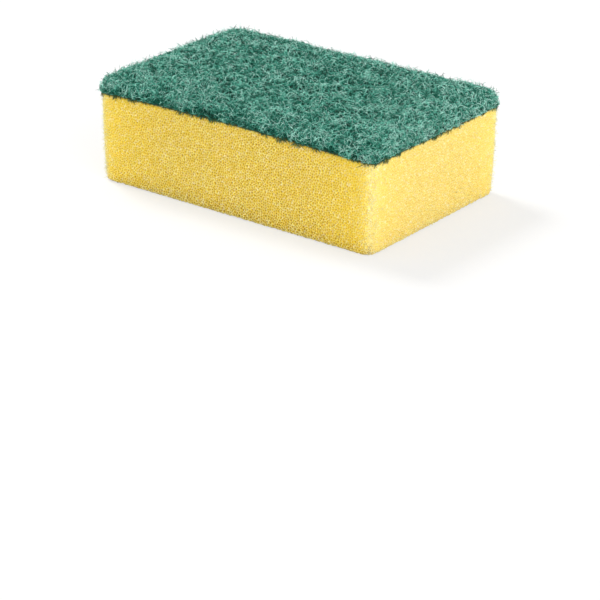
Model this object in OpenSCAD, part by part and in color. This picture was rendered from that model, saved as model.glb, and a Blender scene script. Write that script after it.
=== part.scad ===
/* [Sponge] */
// Length over the lip of the scouring pad
sponge_l = 80; // [60:1:130]
// Width over the lip of the scouring pad
sponge_w = 52; // [40:1:90]
// Radius of the four upright corners, seen from above
corner_r = 2.5; // [1.5:0.25:8]

/* [Foam block] */
// Height of the foam at its two ends, from the foot to the glue
foam_h = 21.8; // [12:0.2:50]
// How much higher the foam stands in the middle of its length
crown = 0.8; // [0:0.1:1.5]
// How far the foam's top edge lies inside the lip of the pad
foam_in = 0.35; // [0.1:0.05:1]
// How far each side leans in between the glue and the foot
foot_lean = 0.45; // [0:0.05:2]
// How far the middle of each side swells out of that lean
belly = 0.15; // [0:0.05:0.8]
// Radius of the soft edge round the foot
foot_r = 0.6; // [0.2:0.1:2]

/* [Glue] */
// Thickness of the glue film between the foam and the pad
glue_t = 0.3; // [0.1:0.05:0.8]

/* [Scouring pad] */
// Thickness of the pad at its two ends, behind the slope round its edge
pad_t = 4.2; // [4:0.1:12]
// Height of the pad's cut edge at the two ends, where the cutting die has pinched it
edge_t = 2.4; // [2:0.1:3.5]
// How far the cut edge leans in over that height
edge_lean = 0.5; // [0:0.05:1.5]
// Width of the slope from the cut edge up to the full thickness
slope_w = 5.5; // [2:0.25:10]
// Radius of the corners where the pad is at its full thickness
top_r = 6; // [3:0.5:12]
// Height of the lumps that the matted fibres make on top
lump_h = 0.2; // [0:0.05:0.8]
// Distance from one lump to the next
lump_pitch = 13; // [8:0.5:25]

/* [Hidden] */

// Steps round each corner, and points along the sides between two corners
corner_steps = 5;
long_steps = 20;
short_steps = 12;
// Rings round the foot, up the foam's side, up the pad's cut edge, over its slope and on top
foot_rings = 3;
side_rings = 7;
edge_rings = 2;
slope_rings = 6;
top_rings = 7;

foam_l = sponge_l - 2 * foam_in;
foam_w = sponge_w - 2 * foam_in;
pad_z = foam_h + glue_t;
// The pad's innermost ring keeps this width round the middle line of the top
core_w = 1;
top_in = sponge_w / 2 - top_r - core_w / 2;
slope_in = min(slope_w, top_in - edge_lean - core_w);

// Points from one place to the next, without the last
function between(a, b, n) = [for (k = [0 : n - 1]) a + (b - a) * k / n];

// A rounded rectangle, counter-clockwise, with points along its sides too
function outline(l, w, r) =
    let (x = l / 2 - r, y = w / 2 - r)
    let (centres = [[x, y], [-x, y], [-x, -y], [x, -y]])
    let (steps = [long_steps, short_steps, long_steps, short_steps])
    [for (c = [0 : 3])
        let (turn = function (k) centres[c] + r * [cos(90 * (c + k)), sin(90 * (c + k))])
        let (next = centres[(c + 1) % 4] + r * [cos(90 * (c + 1)), sin(90 * (c + 1))])
        each concat(
            [for (k = [0 : corner_steps - 1]) turn(k / corner_steps)],
            between(turn(1), next, steps[c])
        )];

// One ring of a solid: an outline drawn in by d and lifted to a height that depends on the place
function ring(l, w, r, d, height) =
    [for (p = outline(l - 2 * d, w - 2 * d, r)) [p.x, p.y, height(p)]];

// How much the seam between foam and pad stands above its height at the two ends
function rise(p) = crown * (1 - pow(2 * p.x / sponge_l, 2));

// A closed solid through rings of one count of points, from the lowest to the innermost,
// closed at each end by a fan of triangles round a middle point
module loft(rings, foot_mid, top_mid) {
    n = len(rings[0]);
    last = (len(rings) - 1) * n;
    low = len(rings) * n;
    high = low + 1;
    walls = [for (k = [0 : len(rings) - 2], i = [0 : n - 1])
        let (a = k * n + i, b = k * n + (i + 1) % n)
        each [[a, a + n, b + n], [a, b + n, b]]];
    ends = [for (i = [0 : n - 1])
        let (j = (i + 1) % n)
        each [[low, i, j], [last + i, high, last + j]]];
    polyhedron(concat([for (r = rings) each r], [foot_mid, top_mid]), concat(walls, ends));
}

// How far the foam's side lies in from its top edge, t from 0 at the foot to 1 at the glue
function side_in(t) = foot_lean * (1 - t) - belly * sin(180 * t);

module foam_block() {
    foot = [for (k = [0 : foot_rings])
        let (a = 90 * k / foot_rings, z = foot_r * (1 - cos(a)))
        let (d = side_in(z / foam_h) + foot_r * (1 - sin(a)))
        ring(foam_l, foam_w, corner_r, d, function (p) z)];
    side = [for (k = [1 : side_rings])
        let (t = k / side_rings, z = foot_r + (foam_h - foot_r) * t)
        let (d = side_in(z / foam_h))
        ring(foam_l, foam_w, corner_r, d, function (p) z + rise(p) * t)];
    color("gold")
        loft(concat(foot, side), [0, 0, 0], [0, 0, foam_h + crown]);
}

module glue_film() {
    under = ring(foam_l, foam_w, corner_r, 0, function (p) foam_h + rise(p));
    over = ring(foam_l, foam_w, corner_r, 0, function (p) pad_z + rise(p));
    color("olivedrab")
        loft([under, over], [0, 0, foam_h + crown], [0, 0, pad_z + crown]);
}

// Lumps of matted fibre, from -1 to 1
function lumps(p) =
    let (a = 360 / lump_pitch)
    (sin(a * p.x + 70 * sin(a * p.y / 2.3)) + sin(a * 1.2 * p.y + 80 * sin(a * p.x / 2.9))) / 2;

// Share of the slope's height gained at d in from its foot, along a quarter of an ellipse
function gained(d) = sqrt(1 - pow(1 - min(d / slope_in, 1), 2));

function pad_top(p, d) = pad_z + edge_t + (pad_t - edge_t + lump_h * lumps(p)) * gained(d);

// Radius of the corners at d in from the top of the cut edge
function round_r(d) = corner_r + (top_r - corner_r) * min(d / slope_in, 1);

module scouring_pad() {
    glued = ring(foam_l, foam_w, corner_r, 0, function (p) pad_z + rise(p));
    edge = [for (k = [0 : edge_rings])
        let (t = k / edge_rings)
        ring(sponge_l, sponge_w, corner_r, edge_lean * t,
            function (p) pad_z + edge_t * t + rise(p) * (1 - t))];
    slope = [for (k = [1 : slope_rings])
        let (d = slope_in * (1 - cos(90 * k / slope_rings)))
        ring(sponge_l, sponge_w, round_r(d), edge_lean + d, function (p) pad_top(p, d))];
    top = [for (k = [1 : top_rings])
        let (d = slope_in + (top_in - edge_lean - slope_in) * k / top_rings)
        ring(sponge_l, sponge_w, top_r, edge_lean + d, function (p) pad_top(p, d))];
    color("seagreen")
        loft(concat([glued], edge, slope, top), [0, 0, pad_z + crown], [0, 0, pad_top([0, 0], top_in)]);
}

foam_block();
glue_film();
scouring_pad();
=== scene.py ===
import math
import bpy
import numpy as np
from mathutils import Matrix, Vector, geometry
from mathutils.bvhtree import BVHTree


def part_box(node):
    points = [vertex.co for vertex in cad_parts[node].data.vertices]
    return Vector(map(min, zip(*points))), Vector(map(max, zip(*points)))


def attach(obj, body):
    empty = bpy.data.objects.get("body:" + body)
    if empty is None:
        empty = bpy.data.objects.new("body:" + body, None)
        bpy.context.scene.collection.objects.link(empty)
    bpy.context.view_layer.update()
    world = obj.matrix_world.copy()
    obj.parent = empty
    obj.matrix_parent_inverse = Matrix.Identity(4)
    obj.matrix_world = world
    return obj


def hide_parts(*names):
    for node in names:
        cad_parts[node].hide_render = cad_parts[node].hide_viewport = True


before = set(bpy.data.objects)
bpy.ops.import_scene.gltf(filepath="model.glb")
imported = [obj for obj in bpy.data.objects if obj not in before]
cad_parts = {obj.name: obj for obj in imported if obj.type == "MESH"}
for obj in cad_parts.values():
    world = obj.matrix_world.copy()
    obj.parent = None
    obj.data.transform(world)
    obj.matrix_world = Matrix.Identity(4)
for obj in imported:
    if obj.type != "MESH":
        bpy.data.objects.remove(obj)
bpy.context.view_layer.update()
mm = 0.001
turn = 2 * math.pi
rng = np.random.default_rng(7)


# Nodes and shader maths

class Wire:
    def __init__(self, graph, socket):
        self.graph = graph
        self.socket = socket

    def maths(self, operation, *terms):
        return self.graph.node("ShaderNodeMath", {"operation": operation}, dict(enumerate(terms)))

    def __add__(self, other):
        return self.maths("ADD", self, other)

    def __radd__(self, other):
        return self.maths("ADD", other, self)

    def __sub__(self, other):
        return self.maths("SUBTRACT", self, other)

    def __rsub__(self, other):
        return self.maths("SUBTRACT", other, self)

    def __mul__(self, other):
        return self.maths("MULTIPLY", self, other)

    def __rmul__(self, other):
        return self.maths("MULTIPLY", other, self)

    def __abs__(self):
        return self.maths("ABSOLUTE", self)


class Graph:
    def __init__(self, name, blocks=bpy.data.materials):
        self.owner = blocks.new(name)
        self.owner.use_nodes = True
        self.tree = self.owner.node_tree
        self.tree.nodes.clear()

    # Any node: its settings are set first, then its sockets get values or links
    def node(self, kind, settings=None, sockets=None, output=0):
        made = self.tree.nodes.new(kind)
        for key, value in (settings or {}).items():
            setattr(made, key, value)
        for key, value in (sockets or {}).items():
            if isinstance(value, Wire):
                self.tree.links.new(value.socket, made.inputs[key])
            elif isinstance(value, tuple) and made.inputs[key].type == "RGBA":
                made.inputs[key].default_value = (*value, 1)
            else:
                made.inputs[key].default_value = value
        return Wire(self, made.outputs[output]) if made.outputs else made

    def mix(self, share, a, b):
        return self.node("ShaderNodeMix", {"data_type": "RGBA"}, {0: share, 6: a, 7: b}, 2)

    def attribute(self, name):
        return self.node("ShaderNodeAttribute", {"attribute_name": name}, {}, "Fac")

    def noise(self, size, detail=2.0, seed=0.0):
        place = self.node("ShaderNodeTexCoord", {}, {}, "Object")
        sockets = {"Vector": place, "W": seed, "Scale": 1 / size, "Detail": detail}
        return self.node("ShaderNodeTexNoise", {"noise_dimensions": "4D"}, sockets, "Fac")

    # Curly lines, 1 along the middle and below 0 away from them
    def strands(self, size, thin, seed):
        return 1.0 - abs(self.noise(size, 0.0, seed) - 0.5) * thin

    def finish(self, surface, output="ShaderNodeOutputMaterial"):
        self.node(output, {}, {"Surface": surface})
        return self.owner


def srgb(red, green, blue):
    return tuple((c / 255) ** 2.2 for c in (red, green, blue))


# Mesh helpers

def meshPiece(name, points, faces, material, smooth, values):
    mesh = bpy.data.meshes.new(name)
    mesh.vertices.add(len(points))
    mesh.vertices.foreach_set("co", np.asarray(points, np.float32).ravel())
    mesh.loops.add(faces.size)
    mesh.loops.foreach_set("vertex_index", faces.astype(np.int32).ravel())
    mesh.polygons.add(len(faces))
    mesh.polygons.foreach_set("loop_start", np.arange(len(faces), dtype=np.int32) * 3)
    mesh.polygons.foreach_set("use_smooth", np.full(len(faces), smooth))
    for key, value in values.items():
        layer = mesh.attributes.new(key, "FLOAT", "POINT")
        layer.data.foreach_set("value", np.asarray(value, np.float32))
    mesh.update(calc_edges=True)
    mesh.validate()
    mesh.materials.append(material)
    piece = bpy.data.objects.new(name, mesh)
    bpy.context.scene.collection.objects.link(piece)
    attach(piece, "root")
    print(name, len(faces), "triangles")
    return piece


def unit(vectors):
    return vectors / np.maximum(np.linalg.norm(vectors, axis=-1, keepdims=True), 1e-12)


# A node's outside, asked for its nearest points and their outward directions
class Skin:
    def __init__(self, node):
        self.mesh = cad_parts[node].data
        points = [v.co.copy() for v in self.mesh.vertices]
        self.tree = BVHTree.FromPolygons(points, [tuple(p.vertices) for p in self.mesh.polygons])

    def nearest(self, points):
        hits = [self.tree.find_nearest(Vector(p)) for p in points]
        return np.array([h[0] for h in hits]), np.array([h[1] for h in hits])

    # Start places spread over it, as thick as the weight says
    def scatter(self, count, weight):
        self.mesh.calc_loop_triangles()
        triangles = self.mesh.loop_triangles
        corners = np.array([[self.mesh.vertices[v].co for v in t.vertices] for t in triangles])
        cross = np.cross(corners[:, 1] - corners[:, 0], corners[:, 2] - corners[:, 0])
        area = np.linalg.norm(cross, axis=1)
        normal = cross / area[:, None]
        share = area * weight(corners.mean(1), normal)
        pick = rng.choice(len(share), count, p=share / share.sum())
        a, b = rng.random((2, count, 1))
        a, b = np.where(a + b > 1, 1 - a, a), np.where(a + b > 1, 1 - b, b)
        c = corners[pick]
        return c[:, 0] + a * (c[:, 1] - c[:, 0]) + b * (c[:, 2] - c[:, 0]), normal[pick]


# Three-sided tubes with closed ends, along paths of shape (tube, point, xyz)
def tubes(name, paths, radius, ends, tint, material):
    n, k, _ = paths.shape
    along = unit(np.gradient(paths, axis=1))
    aside = unit(rng.normal(size=(n, 1, 3)))
    side = unit(np.cross(along, aside))
    over = np.cross(side, along)
    angle = np.arange(3).reshape(1, 1, 3, 1) * turn / 3
    taper = np.ones(k)
    taper[0], taper[-1] = ends
    size = (radius[:, None] * taper[None])[:, :, None, None]
    spoke = np.cos(angle) * over[:, :, None] + np.sin(angle) * side[:, :, None]
    points = paths[:, :, None] + size * spoke
    first = np.arange(n)[:, None, None] * k * 3
    ring = np.arange(k - 1)[None, :, None] * 3
    corner = np.arange(3)[None, None, :]
    a = first + ring + corner
    b = first + ring + (corner + 1) % 3
    walls = [np.stack([a, b, b + 3], -1), np.stack([a, b + 3, a + 3], -1)]
    start = np.arange(n) * k * 3
    end = start + (k - 1) * 3
    caps = [np.stack([start, start + 2, start + 1], -1), np.stack([end, end + 1, end + 2], -1)]
    faces = np.concatenate([w.reshape(-1, 3) for w in walls] + caps)
    values = {"tint": np.repeat(tint.ravel(), 3)}
    piece = meshPiece(name, points.reshape(-1, 3), faces, material, True, values)


# Foam block: a skin of open cells, each a pit between thin struts

foam = {
    "cell": 0.64 * mm,          # from one cell to the next, on the sides
    "footCell": 0.8 * mm,       # and underneath
    "depth": 0.5 * mm,          # of a cell's pit
    "cornerRadius": 2.5 * mm,
    "footRadius": 0.6 * mm,
    "footLean": 0.45 * mm,
    "tuckUnder": 0.8 * mm,      # how far the side's cells run in under the foot
    "crown": 0.8 * mm,          # how much lower the seam lies at the two ends
    "middleSink": (0.7, 1.0),   # how far in the cells' middles lie, as shares of the depth
    "strutSink": (-0.15, 0.15),     # the same for the strut corners round them
    "seamSink": 0.2,            # along the seam
    "footRimSink": 0.35,        # where the side's cells meet the foot's
    "footMiddleSink": (0.45, 1.0),
    "footStrutSink": (0, 0.25),
    "openFoot": 0.6,            # how much deeper the pits are just above the foot
    "openReach": 1.5 * mm,
    "edgeReach": 1.8 * mm,      # of the painted light along the upright edges: pale bands for light through the thin rounded corners
    "glowReach": 7 * mm,        # and of the painted light beside them: fuller yellow, for light that shines through the thin corners
    "glintShare": 0.6,
    "lidSink": 0.05 * mm,       # of the plain lid under the pad
    "cloud": 8 * mm,            # size of the slow changes of colour
    "blot": 0.5 * mm,           # size of the glue's stains and painted shade along the seam
    "soak": 2.0 * mm,           # how far light goes into the foam
    # painted shade: the darker, fuller yellow in the bottoms of the pits
    "pitShade": srgb(189, 150, 26),
    "body": srgb(243, 212, 74),
    # painted highlight on the tops of the struts
    "ridgeHighlight": srgb(255, 250, 150),
    # slow changes of tone, and painted shade just under the seam
    "warm": srgb(242, 206, 62),
    "glow": srgb(255, 222, 52),     # painted light towards the upright edges, for light shining through the thin corners
    "end": srgb(236, 212, 142),     # painted light: paler, whiter yellow on the two end faces, for the washed-out look of the end that the side lamp lights
    "paintedLight": srgb(255, 242, 176),    # painted light along the upright edges
    "glint": srgb(255, 252, 222),
    "glueAndShade": srgb(84, 84, 26),      # glue soaked in, and painted shade under the pad's edge, just under the seam
}
# Loose cell walls that stand out, most of them along the cut edges
wall = {
    "count": 3500,
    "elsewhere": 0.05,          # how thick they stand on the flats, where 1 is the middle of an edge
    "rise": 0.6 * mm,
    "flat": 0.35,               # share of the rise that they have on the flats
    "stray": 0.08 * mm,
    "tipStray": 0.2 * mm,
    "root": 0.05 * mm,          # how deep their ends stand in the cells
    "broken": 0.4,              # share that is broken off on the way
    # painted light: how much paler the loose walls are along the edges
    "lightAtEdge": 0.7,
    "radius": 0.045 * mm,
}


def seamAt(x):
    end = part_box("foam_block")[1][0]
    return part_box("foam_block")[1][2] - foam["crown"] * (x / end) ** 2


def foamMaterial():
    g = Graph("yellowFoam")
    edge = g.attribute("edge")
    below = g.attribute("below")            # millimetres below the seam
    height = g.attribute("height")
    colour = g.mix(height * 1.8 - 0.45, foam["pitShade"], foam["body"])      # painted shade in the pits, from a quarter of the height up
    colour = g.mix(height * 5.0 - 4.3, colour, foam["ridgeHighlight"])           # painted highlight, only on the tops of the struts
    colour = g.mix(g.noise(foam["cloud"]) - 0.4, colour, foam["warm"])
    colour = g.mix(0.5 - below * 0.25, colour, foam["warm"])            # painted shade under the pad's edge, down to 2 mm below the seam
    # painted light: fuller yellow towards the upright edges
    colour = g.mix(g.attribute("glow") * 0.8, colour, foam["glow"])
    # painted light: the end faces paler and whiter, for the washed-out look of the lit end
    colour = g.mix(g.attribute("end") * 0.4, colour, foam["end"])
    # painted light: pale bands along the upright edges, for light through the thin corners
    colour = g.mix(edge * 0.6, colour, foam["paintedLight"])
    colour = g.mix(g.attribute("glint"), colour, foam["glint"])
    # glue soaked in, with painted shade under the pad's edge, in blots just under the seam
    colour = g.mix(g.noise(foam["blot"], 3.0) * 3.0 - below * 1.6 - 0.8, colour, foam["glueAndShade"])
    return g.finish(g.node("ShaderNodeBsdfPrincipled", {"subsurface_method": "RANDOM_WALK"}, {
        "Base Color": colour,
        "Roughness": 0.7,
        "Subsurface Weight": 0.45,
        "Subsurface Radius": (1.0, 0.85, 0.5),
        "Subsurface Scale": foam["soak"],
        "Sheen Weight": 1.0,
        "Sheen Roughness": 0.4,
        "Sheen Tint": (1.0, 0.95, 0.72),
        "Specular IOR Level": 0.3,
    }, "BSDF"))


def strutMaterial():
    g = Graph("foamStrut")
    # the loose walls take the painted highlight colours, from the struts' tops to the glints
    colour = g.mix(g.attribute("tint"), foam["ridgeHighlight"], foam["glint"])
    return g.finish(g.node("ShaderNodeBsdfPrincipled", {}, {
        "Base Color": colour,
        "Roughness": 0.6,
        "Sheen Weight": 0.3,
        "Specular IOR Level": 0.3,
    }, "BSDF"))


# Points, outward directions and gaps to the nearest corner (negative inside its arc), at distances s
# along a rounded rectangle
def onRim(s, length, width, radius):
    runs = [width - 2 * radius, length - 2 * radius] * 2
    arc = radius * turn / 4
    s = np.mod(s, sum(runs) + 4 * arc)
    place = np.zeros((len(s), 2))
    away = np.zeros((len(s), 2))
    gap = np.zeros(len(s))
    centres = [(1, 1), (-1, 1), (-1, -1), (1, -1)]
    start = 0.0
    for k in range(4):
        centre = np.array(centres[k]) * (length / 2 - radius, width / 2 - radius)
        out = np.array([math.cos(k * turn / 4), math.sin(k * turn / 4)])
        along = np.array([-out[1], out[0]])
        flat = (s >= start) & (s < start + runs[k])
        t = s[flat] - start
        place[flat] = centre + out * radius + along * (t - runs[k])[:, None]
        away[flat] = out
        gap[flat] = np.minimum(t, runs[k] - t)
        start += runs[k]
        bend = (s >= start) & (s < start + arc)
        angle = k * turn / 4 + (s[bend] - start) / radius
        away[bend] = np.stack([np.cos(angle), np.sin(angle)], 1)
        place[bend] = centre + away[bend] * radius
        gap[bend] = -np.minimum(s[bend] - start, start + arc - s[bend])
        start += arc
    return place, away, gap


def rimLength(length, width, radius):
    return 2 * (length + width) - 8 * radius + turn * radius


# Cell middles scattered evenly: one strays in each square of a grid, then near ones push apart
def strewCells(across, down, width, height, wraps):
    j, i = np.meshgrid(np.arange(down), np.arange(across), indexing="ij")
    size = np.array([width / across, height / down])
    place = (np.stack([i, j], -1) + rng.uniform(0, 1, (down, across, 2))) * size
    room = 0.95 * size.min()    # nearer ones than this push apart
    for _ in range(4):
        push = np.zeros_like(place)
        for dj in (-2, -1, 0, 1, 2):
            for di in (-2, -1, 0, 1, 2):
                gap = place - np.roll(place, (dj, di), (0, 1))
                if wraps:
                    gap[..., 0] -= width * np.round(gap[..., 0] / width)
                far = np.linalg.norm(gap, axis=-1, keepdims=True)
                apart = gap / np.maximum(far, 1e-9) * (room - far) * 0.4
                push += np.where((far > 0) & (far < room), apart, 0)
        place = place + push
    return place.reshape(-1, 2)


# Joins each middle to the strut corners round it, one corner in each triangle of three middles
def strutFaces(triangles, firstCorner):
    count = triangles.max() + 1
    start = triangles.ravel()
    end = np.roll(triangles, -1, 1).ravel()
    corner = firstCorner + np.repeat(np.arange(len(triangles)), 3)
    code, back = start * count + end, end * count + start
    order = np.argsort(code)
    found = order[np.minimum(np.searchsorted(code[order], back), len(code) - 1)]
    inner = code[found] == back
    fans = np.stack([start, corner[found], corner], 1)[inner]
    rims = np.stack([start, end, corner], 1)[~inner]
    return np.concatenate([fans, rims])


def triangulate(points, edges):
    cut = geometry.delaunay_2d_cdt([Vector(p) for p in points], edges, [], 0 if not edges else 1, 1e-9)
    origin = np.array([o[0] for o in cut[3]])
    return origin[np.array(cut[2])]


# The strip of cells that goes round the block, its two ends joined; v runs down from the seam
def sideCells(around, total):
    cell = foam["cell"]
    columns = round(around / cell)
    border = (np.arange(columns) + rng.uniform(-0.25, 0.25, (2, columns))) * around / columns
    top = np.column_stack([border[0], np.zeros(columns)])
    bottom = np.column_stack([border[1], np.full(columns, total)])
    inside = strewCells(columns, round(total / cell) - 1, around, total - 1.1 * cell, True)
    clear = 0.35 * cell         # kept free along the two borders
    inside[:, 1] = np.clip(inside[:, 1] + 0.55 * cell, clear, total - clear)
    inside[:, 0] = np.mod(inside[:, 0], around)
    place = np.concatenate([top, bottom, inside])
    number = np.arange(len(place))
    wide = np.concatenate([place, place - [around, 0], place + [around, 0]])
    margin = 8 * cell           # of repeated cells beyond each end, so that the join doesn't show
    near = (wide[:, 0] > -margin) & (wide[:, 0] < around + margin)
    wide, ids = wide[near], np.tile(number, 3)[near]
    triangles = triangulate(wide, [])
    middle = wide[triangles].mean(1)
    keep = (middle[:, 0] >= 0) & (middle[:, 0] < around)
    flat = np.concatenate([place, middle[keep]])
    return flat[:, 0], flat[:, 1], columns, len(place), strutFaces(ids[triangles[keep]], len(place))


# Larger cells laid flat over the foot, inside the given ring
def footCells(length, width, inset, ring):
    cell, radius = foam["footCell"], foam["cornerRadius"]
    flat = strewCells(round(length / cell), round(width / cell), length, width, False)
    flat = flat - [length / 2, width / 2]
    room = inset + 0.45 * cell + radius
    q = np.abs(flat) - (np.array([length, width]) / 2 - room)
    flat = flat[np.linalg.norm(np.maximum(q, 0), axis=1) + np.minimum(q.max(1), 0) < radius]
    loop = [(k, (k + 1) % len(ring)) for k in range(len(ring))]
    both = np.concatenate([ring, flat])
    triangles = triangulate(both, loop)
    corners = both[triangles].mean(1)
    return flat, corners, strutFaces(triangles, len(both))


def buildFoam():
    low, high = (np.array(c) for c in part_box("foam_block"))
    length, width = high[0] - low[0], high[1] - low[1]
    foot = foam["footRadius"]
    side = high[2] - low[2] - foot
    around = rimLength(length, width, foam["cornerRadius"])
    s, v, columns, middles, faces = sideCells(around, side + foot * turn / 4 + foam["tuckUnder"])
    isMiddle = np.arange(len(s)) < middles
    topRing, footRing = np.arange(columns), np.arange(columns, 2 * columns)

    # Down the side, round the foot's edge, in under the foot, and onto the CAD block's own skin
    rim, away, gap = onRim(s, length, width, foam["cornerRadius"])
    bend = np.clip((v - side) / foot, 0, turn / 4)
    under = np.maximum(v - side - foot * turn / 4, 0)
    inward = foam["footLean"] * np.clip(v / side, 0, 1) + foot * (1 - np.cos(bend)) + under
    height = high[2] - np.minimum(v, side) - foot * np.sin(bend)
    points, _ = Skin("foam_block").nearest(np.column_stack([rim - away * inward[:, None], height]))
    out = np.column_stack([away * np.cos(bend)[:, None], -np.sin(bend)])
    atFoot = np.exp(-np.maximum(side - v, 0) / foam["openReach"])
    middleSink, strutSink = (rng.uniform(*foam[k], len(s)) for k in ("middleSink", "strutSink"))
    sink = np.where(isMiddle, middleSink, strutSink) * (1 + foam["openFoot"] * atFoot)
    sink[topRing] = foam["seamSink"]
    sink[footRing] = foam["footRimSink"]
    points = points - out * (sink * foam["depth"])[:, None]

    inset = foot + foam["tuckUnder"] + foam["footLean"]
    flat, corners, footFaces = footCells(length, width, inset, points[footRing][:, :2])
    footMiddleSink = rng.uniform(*foam["footMiddleSink"], len(flat))
    footSink = np.concatenate([footMiddleSink, rng.uniform(*foam["footStrutSink"], len(corners))])
    footPoints = np.column_stack([np.concatenate([flat, corners]), footSink * foam["depth"]])
    ids = np.concatenate([footRing, len(points) + np.arange(len(footPoints))])
    lid = np.stack([topRing, np.roll(topRing, -1), np.full(columns, len(points) + len(footPoints))], 1)
    everyPoint = np.concatenate([points, footPoints, [[0, 0, high[2] - foam["lidSink"]]]])
    everyPoint[:, 2] = np.maximum(everyPoint[:, 2], 0)
    everyFace = np.concatenate([faces[:, ::-1], ids[footFaces][:, ::-1], lid])
    isStrut = np.concatenate([~isMiddle, np.arange(len(footPoints)) >= len(flat), [False]])
    arcMiddle = -foam["cornerRadius"] * turn / 8
    onSide = v < side + foot
    # 1 at the middle of each rounded corner: how much painted light the edges get, and where loose walls
    #                                         stand
    edge = np.exp((arcMiddle - gap) / foam["edgeReach"]) * onSide
    glow = np.exp(-np.maximum(gap, 0) / foam["glowReach"]) * onSide
    rest = np.zeros(len(footPoints) + 1)
    values = {
        "height": 1 - np.concatenate([sink, footSink, [0.5]]),
        "glint": np.where(isStrut, rng.random(len(everyPoint)) ** 8, 0) * foam["glintShare"],
        "edge": np.concatenate([edge, rest]),
        "glow": np.concatenate([glow, rest]),
        # painted light on the two end faces
        "end": np.concatenate([away[:, 0] ** 2 * onSide, rest]),
        "below": np.clip((seamAt(everyPoint[:, 0]) - everyPoint[:, 2]) / mm, 0, 5),
    }
    a, b, c = (everyPoint[everyFace[:, k]] for k in range(3))
    print("foam volume", round(float((a * np.cross(b, c)).sum() / 6 / mm ** 3)), "mm3")
    piece = meshPiece("foam_cells", everyPoint, everyFace, foamMaterial(), False, values)
    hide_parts("foam_block")
    walls = faces[(faces[:, 1] >= middles) & (faces[:, 1] < faces[:, 2])][:, 1:]
    aboveFoot = v[walls].max(1) < side + 0.5 * foot
    walls = walls[aboveFoot & (v[walls].min(1) > 1 * mm)]
    buildWalls(points[walls], out[walls[:, 0]], np.maximum(edge, 0.3 * atFoot)[walls[:, 0]])


# Loose cell walls, each an arch from one strut corner to the next or broken off on the way
def buildWalls(ends, out, edge):
    share = wall["elsewhere"] + edge ** 1.5
    count = wall["count"]
    pick = rng.choice(len(ends), count, False, share / share.sum())
    start, end, out, edge = ends[pick, 0], ends[pick, 1], out[pick], edge[pick][:, None]
    rise = wall["rise"] * rng.uniform(0.2, 1.0, (count, 1))
    rise = rise * (wall["flat"] + (1 - wall["flat"]) * edge)
    middle = (start + end) / 2 + out * rise + rng.normal(size=(count, 3)) * wall["stray"]
    tip = middle + out * rise * rng.uniform(0.2, 0.9, (count, 1))
    tip = tip + rng.normal(size=(count, 3)) * wall["tipStray"]
    broken = rng.random((count, 1)) < wall["broken"]
    root = out * wall["root"]
    paths = np.stack([start - root, middle, np.where(broken, tip, end - root)], 1)
    paths[..., 2] = np.maximum(paths[..., 2], wall["radius"])
    # painted light: walls paler along the edges, as if lit through
    tint = rng.normal(0.1, 0.2, (count, 1)) + wall["lightAtEdge"] * edge
    tint = np.clip(tint, 0, 1) * np.ones((1, 3))
    radius = wall["radius"] * rng.uniform(0.7, 1.2, count)
    tubes("foam_struts", paths, radius, (1.2, 0.7), tint, strutMaterial())


# Scouring pad: a dark mat under thousands of crimped fibres, loops and loose ends; the mat's darkness is
# painted shade deep in the pad

pad = {
    "voxel": 0.8 * mm,          # of the mat's mesh
    "matSink": 1.0 * mm,        # how far the mat lies under the pad's outside
    "matStray": (-0.15 * mm, 0.25 * mm),    # and how much that differs from place to place
    "matSwell": 0.2 * mm,       # less of it under the pad's lumps
    "flatSink": 0.02 * mm,      # on its underside
    "matStrands": (1.3 * mm, 1.0 * mm),     # size of the curls drawn on it
    "matBump": 0.2 * mm,
    "swell": 0.12 * mm,         # slow rise and fall of the fibres over the top
    "swellSize": 9 * mm,
    "lip": -0.1 * mm,           # the same just inside the outline, where they sink a little
    "lipPlace": 2 * mm,
    "lipReach": 1.5 * mm,
    "ragged": 0.15 * mm,        # small tufts along the outline
    "raggedRate": 2.6,          # how many times closer together they are than the swell
    "raggedReach": 2 * mm,
    "tuck": 0.5 * mm,           # how far the ends of a lying fibre dip
    "bend": (0.35, 0.7, 0.3),   # its curl at the start, the share kept at each step and what is added
    # painted shade: the colour of the mat and of the deepest fibres
    "dark": srgb(8, 46, 34),
    "green": srgb(44, 138, 114),
    "bright": srgb(127, 220, 196),
    "white": srgb(194, 244, 230),
    "olive": srgb(92, 92, 30),      # fibres with glue on them
}
# Tints run from 0, dark, through green and bright to 1.5, white; below 0 is olive. Besides the fibres' own
# tone they carry painted shade and light: darker deep down and near the seam, lighter where raised, along
# the outline and at the ends
tints = {
    "spread": 0.47,             # from fibre to fibre
    "lift": 0.3,                # more for each millimetre that a point stands up: painted light where raised, painted shade where sunk
    "swell": 0.03,
    "rim": 0.32,                # more along the outline: painted light on the pad's edges
    "rimReach": 2.5 * mm,
    "end": 0.2,                 # and along the two ends: painted light, for the end under the side lamp
    "endReach": 5 * mm,
    "highlightShare": 0.35,          # of the fibres near the outline that get a painted highlight where they stand up
    "paintedLight": 0.6,
    "highlightLift": 0.1 * mm,
    "highlightReach": 4 * mm,
    "range": (0.02, 1.5),
}
# Painted shade on the fibres towards the seam, under the pad's rounded edge
seam = {
    "film": 0.3 * mm,           # thickness of the glue
    "clear": 0.1 * mm,          # how far above the glue the fibres stay
    "dark": (0.35, 0.95),       # share of a fibre's tint that is left at the seam, in painted shade
    "height": 1.8 * mm,         # over which the rest comes back
    "patch": 0.4,               # how much darker the painted shade is in patches
    "patchRate": 3,             # how many times closer together they are than the swell
    "litEnd": 10 * mm,          # from the end near the side lamp, where there are none, to their full share
    "lit": 0.25,                # how much more of the tint is left at that end
}
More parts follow.
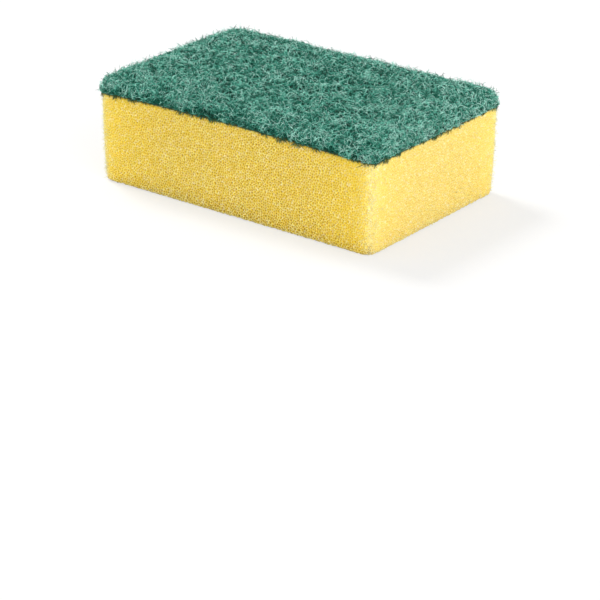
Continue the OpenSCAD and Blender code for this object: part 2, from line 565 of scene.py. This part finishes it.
# A layer's rim: how much thicker it grows along the outline, how far in that reaches and, where the
# sides have less of it, their share
# A layer's tint runs from its deepest fibre to its outermost: painted shade, darker deeper in
fibres = {
    "body": {
        "pieces": 2, "count": 3900, "steps": 3, "reach": 3.0 * mm, "radius": 0.07 * mm,
        "low": -0.8 * mm, "high": 0.1 * mm, "tilt": 0.5 * mm, "wave": 0.25 * mm,
        "tint": (-0.1, 0.34), "rim": (0.6, 3 * mm),
    },
    "crown": {
        "pieces": 3, "count": 6300, "steps": 4, "reach": 2.0 * mm, "radius": 0.051 * mm,
        "low": -0.25 * mm, "high": 0.1 * mm, "tilt": 1.35 * mm, "wave": 0.18 * mm,
        "tint": (0.42, 1.1), "rim": (0.8, 3 * mm),
    },
    "loops": {
        "count": 1200, "steps": 4, "span": 1.4 * mm, "rise": 0.5 * mm, "radius": 0.055 * mm,
        "lean": 0.6, "twist": 0.25, "root": 0.35 * mm, "tint": (0.66, 0.2), "rim": (2.5, 2.5 * mm),
    },
    "strays": {
        "count": 3600, "steps": 3, "reach": 1.6 * mm, "radius": 0.05 * mm,
        "spread": 0.8, "curl": (0.4, 1.8), "tint": (0.36, 0.28), "rim": (20, 2 * mm, 0.35),
    },
    "fringe": {
        "count": 1800, "steps": 3, "reach": 1.5 * mm, "radius": 0.08 * mm,
        "start": (0.2 * mm, 0.7 * mm), "out": 0.12 * mm, "bulge": 0.1 * mm, "stray": 0.04 * mm,
        "slant": 0.6, "patches": (1.9 * mm, 1.3 * mm), "glued": 0.45,
    },
}
padSkin = Skin("scouring_pad")
padSide = np.array(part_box("scouring_pad")[1][:2])
swellWay = rng.uniform(0, turn, 9)
swellPhase = rng.uniform(0, turn, 9)
swellRate = rng.uniform(0.7, 1.5, 9) * turn / pad["swellSize"]


# A slow field over the pad, near -1 in its hollows and near 1 on its lumps
def swellAt(place):
    waves = place[..., :1] * np.cos(swellWay) + place[..., 1:2] * np.sin(swellWay)
    return np.sin(waves * swellRate + swellPhase).sum(-1) / 2.1


# How far in from the pad's outline, seen from above
def rimGap(place):
    return (padSide - np.abs(place[..., :2])).min(-1)


# 1 along the outline, less and less further in
def nearRim(place, reach):
    return np.exp(-np.maximum(rimGap(place), 0) / reach)


# A weight for scattering: more near the outline, less or as much on the sides, none underneath; the
# skin's slope tells these apart
def thickNear(rim, reach, onSide=1.0):
    def weight(place, normal):
        share = np.where(normal[:, 2] > 0.35, 1, onSide)
        return np.where(normal[:, 2] > -0.3, share * (1 + rim * np.exp(-rimGap(place) / reach)), 0)
    return weight


def fibreMaterial():
    g = Graph("padFibre")
    tint = g.attribute("tint")
    colour = g.mix(tint * 2.0, pad["dark"], pad["green"])
    colour = g.mix(tint * 2.0 - 1.0, colour, pad["bright"])
    colour = g.mix(tint * 2.0 - 2.0, colour, pad["white"])
    colour = g.mix(tint * -4.0, colour, pad["olive"])
    return g.finish(g.node("ShaderNodeBsdfPrincipled", {}, {
        "Base Color": colour,
        "Roughness": 0.45,
        "Specular IOR Level": 0.3,
        "Specular Tint": (0.6, 1.0, 0.88),
    }, "BSDF"))


def matMaterial():
    g = Graph("padMat")
    wide, narrow = pad["matStrands"]
    # painted shade: a dark ground with green curls, for the shaded depth of the pad
    colour = g.mix(g.strands(wide, 9.0, 1.0), pad["dark"], pad["green"])
    colour = g.mix(g.strands(narrow, 10.0, 5.0), colour, pad["green"])
    height = g.strands(wide, 6.0, 1.0) + g.strands(narrow, 6.0, 5.0)
    sockets = {"Height": height, "Strength": 0.6, "Distance": pad["matBump"]}
    bump = g.node("ShaderNodeBump", {}, sockets, "Normal")
    return g.finish(g.node("ShaderNodeBsdfPrincipled", {}, {
        "Base Color": colour,
        "Roughness": 0.8,
        "Specular IOR Level": 0.2,
        "Normal": bump,
    }, "BSDF"))


# Paths that creep over the pad from each start, bending as they go
def creep(start, normal, steps, step):
    first, kept, added = pad["bend"]
    heading = unit(np.cross(normal, rng.normal(size=start.shape)))
    spin = rng.normal(0, first, len(start))
    place, up = start, normal
    places, ups = [place], [up]
    for _ in range(steps):
        spin = kept * spin + rng.normal(0, added, len(start))
        heading = heading * np.cos(spin)[:, None] + np.cross(up, heading) * np.sin(spin)[:, None]
        place, up = padSkin.nearest(place + heading * step[:, None])
        heading = unit(heading - up * (heading * up).sum(1, keepdims=True))
        places.append(place)
        ups.append(up)
    return np.stack(places, 1), np.stack(ups, 1)


# Keeps fibres above the seam, and darkens them towards it with painted shade under the pad's edge, more in
# patches
def aboveSeam(paths, tint):
    height = paths[..., 2] - seamAt(paths[..., 0]) - seam["film"]
    paths[..., 2] += np.maximum(seam["clear"] - height, 0) * rng.uniform(0.9, 1.3, (len(paths), 1))
    shade = np.clip((padSide[0] - paths[..., 0]) / seam["litEnd"], 0, 1)
    patch = shade * np.clip(0.2 + swellAt(paths * seam["patchRate"]), 0, 1.2)
    left = rng.uniform(*seam["dark"], (len(paths), 1)) + seam["lit"] * (1 - shade)
    left = np.clip(left - seam["patch"] * patch, 0.05, 1)
    return tint * np.clip(left + height / (seam["height"] * (1 + patch)), left, 1)


# Crimped fibres that lie in the pad between two depths, each more or less tilted
def layFibres(name, layer, material):
    count, steps = layer["count"], layer["steps"]
    start, normal = padSkin.scatter(count, thickNear(*layer["rim"]))
    step = layer["reach"] * rng.uniform(0.7, 1.3, count) / steps
    paths, ups = creep(start, normal, steps, step)
    sides = unit(np.cross(np.gradient(paths, axis=1), ups))
    t = np.linspace(0, 1, steps + 1)[None]
    rank = rng.random((count, 1))       # 0 for the deepest fibre, 1 for the outermost
    base = layer["low"] + (layer["high"] - layer["low"]) * rank
    crimp = turn * (t * rng.uniform(0.3, 0.95, (count, 1)) + rng.random((count, 1)))
    lift = base + layer["wave"] * np.sin(crimp) - pad["tuck"] * np.abs(2 * t - 1) ** 5
    lift = lift + layer["tilt"] * rng.normal(0, 1, (count, 1)) * (t - 0.5)
    lip = np.exp(-((rimGap(paths) - pad["lipPlace"]) / pad["lipReach"]) ** 2)
    lift = lift + pad["swell"] * swellAt(paths) + pad["lip"] * lip
    tufts = swellAt(paths * pad["raggedRate"]) * nearRim(paths, pad["raggedReach"])
    lift = lift + pad["ragged"] * tufts
    sway = layer["wave"] * np.cos(crimp * rng.choice([-1, 1], (count, 1)))
    # painted shade: the deeper a fibre lies, the darker its tint
    low, high = layer["tint"]
    tint = low + (high - low) * rank + rng.normal(0, tints["spread"], (count, 1))
    # painted light and shade by height; the swell's share is tone
    tint = tint + tints["lift"] * lift / mm + tints["swell"] * swellAt(paths)
    # painted light along the outline and at the two ends
    tint = tint + tints["rim"] * nearRim(paths, tints["rimReach"])
    tint = tint + tints["end"] * np.exp(-(padSide[0] - np.abs(paths[..., 0])) / tints["endReach"])
    # painted highlight on raised fibres near the outline
    paintedLight = (rng.random((count, 1)) < tints["highlightShare"]) * nearRim(paths, tints["highlightReach"])
    tint = np.clip(tint + tints["paintedLight"] * paintedLight * (lift > tints["highlightLift"]), *tints["range"])
    paths = paths + ups * lift[..., None] + sides * sway[..., None]
    tint = aboveSeam(paths, tint)
    radius = layer["radius"] * rng.uniform(0.75, 1.25, count)
    tubes(name, paths, radius, (0.6, 0.6), tint, material)


# Fibres that leave the pad and turn back into it
def buildLoops(layer, material):
    count, steps = layer["count"], layer["steps"]
    start, normal = padSkin.scatter(count, thickNear(*layer["rim"]))
    heading = unit(np.cross(normal, rng.normal(size=start.shape)))
    lean = np.cross(normal, heading) * rng.normal(0, layer["lean"], (count, 1))
    t = np.linspace(0, 1, steps + 1)[None, :, None]
    span = layer["span"] * rng.uniform(0.5, 1.3, (count, 1, 1))
    rise = layer["rise"] * rng.uniform(0.35, 1.4, (count, 1, 1))
    arch = np.sin(math.pi * t)
    twist = layer["twist"] * span * np.sin(turn * t + rng.uniform(0, turn, (count, 1, 1)))
    paths = start[:, None] + heading[:, None] * span * (t - 0.5) - normal[:, None] * layer["root"]
    paths = paths + (normal + lean)[:, None] * arch * rise + np.cross(normal, heading)[:, None] * twist
    tint = rng.normal(*layer["tint"], (count, 1)) + 0.25 * (arch[..., 0] - 0.7)     # painted highlight: paler at the top
    tint = aboveSeam(paths, np.clip(tint, 0.05, 1.3))
    radius = layer["radius"] * rng.uniform(0.7, 1.2, count)
    tubes("pad_loops", paths, radius, (1, 1), tint, material)


# Loose ends that stand out, most of them along the pad's edges
def buildStrays(layer, material):
    count, steps = layer["count"], layer["steps"]
    start, normal = padSkin.scatter(count, thickNear(*layer["rim"]))
    heading = unit(normal + layer["spread"] * rng.normal(size=(count, 3)))
    heading = np.where((heading * normal).sum(1, keepdims=True) < 0, -heading, heading)
    curl = unit(rng.normal(size=(count, 3))) * rng.uniform(*layer["curl"], (count, 1))
    step = layer["reach"] * rng.uniform(0.3, 1.2, (count, 1)) / steps
    place = start
    places = [place]
    for _ in range(steps):
        heading = unit(heading + np.cross(curl, heading))
        place = place + heading * step
        places.append(place)
    paths = np.stack(places, 1)
    tint = np.clip(rng.normal(*layer["tint"], (count, 1)), 0.02, 1.1)
    tint = aboveSeam(paths, tint * np.ones((1, steps + 1)))
    radius = layer["radius"] * rng.uniform(0.7, 1.2, count)
    tubes("pad_strays", paths, radius, (1, 0.5), tint, material)


# Short dark ends that hang over the foam's top edge, stiff with glue: olive where glued, the rest dark
# green, which is painted shade under the pad's edge
def buildFringe(layer, material):
    count, steps = layer["count"], layer["steps"]
    low, high = (np.array(c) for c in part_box("foam_block"))
    size = high - low
    s = rng.uniform(0, rimLength(size[0], size[1], foam["cornerRadius"]), count)
    rim, away, _ = onRim(s, size[0], size[1], foam["cornerRadius"])
    away = np.column_stack([away, np.zeros(count)])
    start = np.column_stack([rim, seamAt(rim[:, 0]) + rng.uniform(*layer["start"], count)])
    along = np.column_stack([-away[:, 1], away[:, 0], np.zeros(count)])
    wide, narrow = layer["patches"]
    patch = 0.5 + 0.5 * np.sin(s / wide) * np.sin(s / narrow)
    drop = layer["reach"] * rng.uniform(0.3, 1.2, count) * patch
    slant = rng.normal(0, layer["slant"], count)
    places = []
    for k in range(steps + 1):
        t = k / steps
        out = layer["out"] + layer["bulge"] * math.sin(math.pi * t) + rng.normal(0, layer["stray"], count)
        fall = np.column_stack([np.zeros((count, 2)), -drop * t])
        places.append(start + away * out[:, None] + along * (slant * drop * t)[:, None] + fall)
    paths = np.stack(places, 1)
    glued = rng.random((count, 1)) < layer["glued"]
    # olive where glued; the others dark, painted shade under the pad's edge
    tint = np.where(glued, -0.3, rng.uniform(0, 0.35, (count, 1))) * np.ones((1, steps + 1))
    radius = layer["radius"] * rng.uniform(0.6, 1.2, count)
    tubes("pad_fringe", paths, radius, (1, 0.6), tint, material)


# The dark mat: the pad's own solid, evened out and sunk under the fibres, its dark colour painted shade
# deep among them
def buildMat():
    mat = bpy.data.objects.new("pad_mat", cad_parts["scouring_pad"].data.copy())
    bpy.context.scene.collection.objects.link(mat)
    even = mat.modifiers.new("even", "REMESH")
    even.mode = "VOXEL"
    even.voxel_size = pad["voxel"]
    done = bpy.data.meshes.new_from_object(mat.evaluated_get(bpy.context.evaluated_depsgraph_get()))
    mat.modifiers.clear()
    mat.data = done
    co = np.zeros(len(done.vertices) * 3, np.float32)
    normal = np.zeros(len(done.vertices) * 3, np.float32)
    done.vertices.foreach_get("co", co)
    done.vertices.foreach_get("normal", normal)
    co, normal = co.reshape(-1, 3), normal.reshape(-1, 3)
    sink = pad["matSink"] - pad["matSwell"] * swellAt(co) + rng.uniform(*pad["matStray"], len(co))
    sink = np.where(normal[:, 2] < -0.5, pad["flatSink"], sink)
    done.vertices.foreach_set("co", (co - normal * sink[:, None]).ravel())
    done.polygons.foreach_set("use_smooth", np.full(len(done.polygons), True))
    done.materials.clear()
    done.materials.append(matMaterial())
    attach(mat, "root")
    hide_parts("scouring_pad")
    print("pad_mat", len(done.polygons), "faces")


def buildPad():
    buildMat()
    material = fibreMaterial()
    for name, layer in (("pad_fibres", fibres["body"]), ("pad_crown_fibres", fibres["crown"])):
        for k in range(layer["pieces"]):
            layFibres(f"{name}_{k + 1}", layer, material)
    buildLoops(fibres["loops"], material)
    buildStrays(fibres["strays"], material)
    buildFringe(fibres["fringe"], material)


# Glue film: the CAD's own node, which only gets its material

glue = {
    "deep": srgb(30, 40, 14),
    "thin": srgb(104, 92, 32),
    "blot": 0.8 * mm,           # size of its deep and thin places
}


def dressGlue():
    g = Graph("setGlue")
    colour = g.mix(g.noise(glue["blot"], 3.0), glue["deep"], glue["thin"])
    surface = g.node("ShaderNodeBsdfPrincipled", {}, {"Base Color": colour, "Roughness": 0.6}, "BSDF")
    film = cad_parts["glue_film"].data
    film.materials.clear()
    film.materials.append(g.finish(surface))
    print("glue_film dressed")


# Floor, light and camera

stage = {
    "floor": 2.0,               # its side, in metres
    "floorSink": 0.02 * mm,     # keeps it clear of the foam's foot
    "floorColour": (0.88, 0.88, 0.88),
    "floorWhite": 0.6,          # share of plain white that the camera sees in it
    "sky": 0.61,                # light from all round
}
lamps = {
    "side": {"place": (1.04, -0.42, 0.5), "power": 8.4, "size": 0.9},       # broad, on the end face
    "top": {"place": (-0.65, 0.15, 0.85), "power": 6.8, "size": 0.3},       # small, from above
}
shot = {
    "azimuth": 36.9,            # this and the next two in degrees
    "elevation": 23.9,
    "roll": 0.5,
    "distance": 564.7 * mm,
    "aside": 0.4 * mm,          # how far the camera is shifted to the right
    "below": 47.1 * mm,         # and down, so that the part stands high in the picture
    "target": (0, 0, 21.8 * mm),
    "lens": 144.8,
    "sensor": 36,
    "clip": 0.01,
}


# The rays that see plain white round the part: the camera's own, mirrored ones and those through glass
def seenWhite(graph):
    kinds = ("Is Camera Ray", "Is Glossy Ray", "Is Transmission Ray")
    camera, glossy, through = (graph.node("ShaderNodeLightPath", {}, {}, kind) for kind in kinds)
    return camera + glossy + through


def buildStage():
    g = Graph("paleFloor")
    sockets = {"Base Color": stage["floorColour"], "Roughness": 0.9}
    lit = g.node("ShaderNodeBsdfPrincipled", {}, sockets, "BSDF")
    white = g.node("ShaderNodeEmission", {}, {"Color": (1.0, 1.0, 1.0), "Strength": 1.0})
    surface = g.node("ShaderNodeMixShader", {}, {0: seenWhite(g) * stage["floorWhite"], 1: lit, 2: white})
    half = stage["floor"] / 2
    corners = [(-half, -half, 0), (half, -half, 0), (half, half, 0), (-half, half, 0)]
    mesh = bpy.data.meshes.new("floor")
    mesh.from_pydata(corners, [], [(0, 1, 2, 3)])
    mesh.materials.append(g.finish(surface))
    floor = bpy.data.objects.new("floor", mesh)
    floor.location.z = -stage["floorSink"]
    bpy.context.scene.collection.objects.link(floor)
    print("floor laid")
    w = Graph("paleRoom", bpy.data.worlds)
    sky = w.node("ShaderNodeBackground", {}, {"Color": (1.0, 1.0, 1.0), "Strength": stage["sky"]})
    backdrop = w.node("ShaderNodeBackground", {}, {"Color": (1.0, 1.0, 1.0), "Strength": 1.0})
    room = w.node("ShaderNodeMixShader", {}, {0: seenWhite(w), 1: sky, 2: backdrop})
    bpy.context.scene.world = w.finish(room, "ShaderNodeOutputWorld")
    for name, plan in lamps.items():
        light = bpy.data.lights.new(name, "AREA")
        light.energy = plan["power"]
        light.size = plan["size"]
        lamp = bpy.data.objects.new(name, light)
        lamp.location = plan["place"]
        aim = Vector(shot["target"]) - Vector(plan["place"])
        lamp.rotation_euler = aim.to_track_quat("-Z", "Y").to_euler()
        bpy.context.scene.collection.objects.link(lamp)
    print(len(lamps), "lamps hung")


def buildCamera():
    a, e, r = (math.radians(shot[k]) for k in ("azimuth", "elevation", "roll"))
    back = Vector((math.sin(a) * math.cos(e), -math.cos(a) * math.cos(e), math.sin(e)))
    level = Vector((math.cos(a), math.sin(a), 0))
    rise = back.cross(level)
    right = level * math.cos(r) + rise * math.sin(r)
    up = rise * math.cos(r) - level * math.sin(r)
    eye = Vector(shot["target"]) + back * shot["distance"] + right * shot["aside"] - up * shot["below"]
    data = bpy.data.cameras.new("camera")
    data.lens = shot["lens"]
    data.sensor_width = shot["sensor"]
    data.clip_start = shot["clip"]
    camera = bpy.data.objects.new("camera", data)
    camera.matrix_world = Matrix.Translation(eye) @ Matrix((right, up, back)).transposed().to_4x4()
    bpy.context.scene.collection.objects.link(camera)
    bpy.context.scene.camera = camera
    print("camera placed")


buildCamera()
buildStage()
buildFoam()
buildPad()
dressGlue()
bpy.context.scene.view_settings.view_transform = "Standard"
